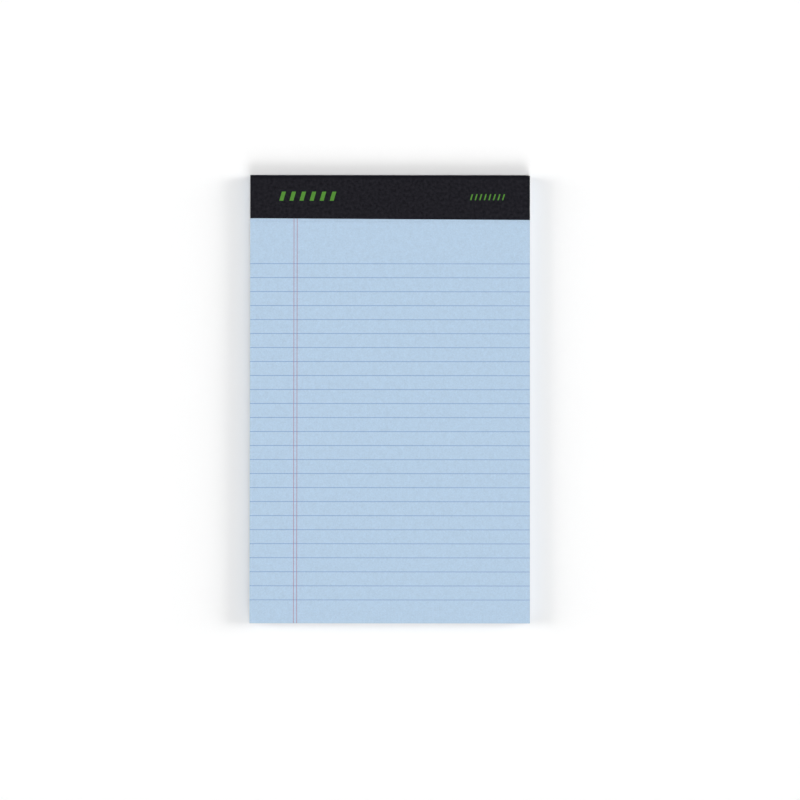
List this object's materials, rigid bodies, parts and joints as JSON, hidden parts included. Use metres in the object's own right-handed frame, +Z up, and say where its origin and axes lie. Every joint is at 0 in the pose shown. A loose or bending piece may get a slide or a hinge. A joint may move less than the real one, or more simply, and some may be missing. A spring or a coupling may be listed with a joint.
{
  "type": "legal pad",
  "caption": "Ruled writing pad: perforated tinted sheets and a chipboard back, stapled and taped along the head.",
  "frame": {"origin": "middle of the pad's footprint, on the surface that it lies on", "axes": "+X to the right across the sheets, +Y along the sheets towards the bound head, +Z up from the backboard to the top sheet"},
  "size_m": [0.127, 0.2034, 0.0056],
  "materials": {
    "tinted_paper": "matte",
    "chipboard": "matte",
    "binding_paper": "matte",
    "staple_wire": "satin",
    "ruling_ink": "matte",
    "margin_ink": "matte",
    "header_ink": "matte"
  },
  "bodies": {
    "root": {"page_block": "tinted_paper", "backboard": "chipboard", "binding_tape": "binding_paper", "staple_left": "staple_wire", "staple_right": "staple_wire", "ruling_lines": "ruling_ink", "margin_lines": "margin_ink", "header_mark": "header_ink", "header_dashes": "header_ink"}
  },
  "joints": []
}
